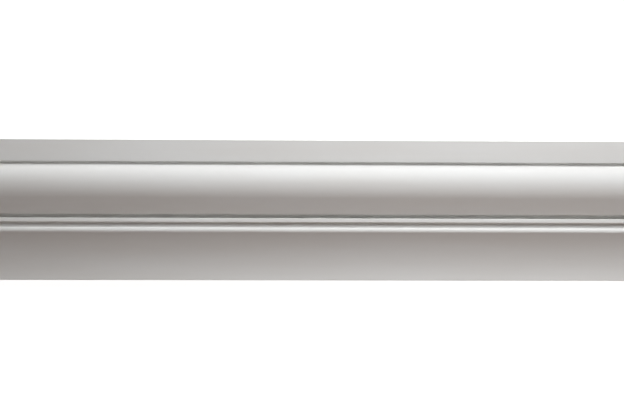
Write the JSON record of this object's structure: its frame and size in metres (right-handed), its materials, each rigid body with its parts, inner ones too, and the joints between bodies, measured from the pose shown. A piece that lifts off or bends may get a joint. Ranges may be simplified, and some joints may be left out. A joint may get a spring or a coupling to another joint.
{
  "type": "wall moulding",
  "caption": "Straight stick of white wall moulding with a flat back: flat listel, quirk, rounded roll, narrow fillet, small bead and wide cove down to a thin edge.",
  "frame": {"origin": "middle of the flat back, which is the wall side", "axes": "+X along the stick, +Y across it towards the thick edge that is uppermost on a wall, +Z out of the back towards the moulded face"},
  "size_m": [2, 0.08, 0.026],
  "materials": {
    "primed_foam": "satin"
  },
  "bodies": {
    "root": {"wall_moulding": "primed_foam"}
  },
  "joints": []
}
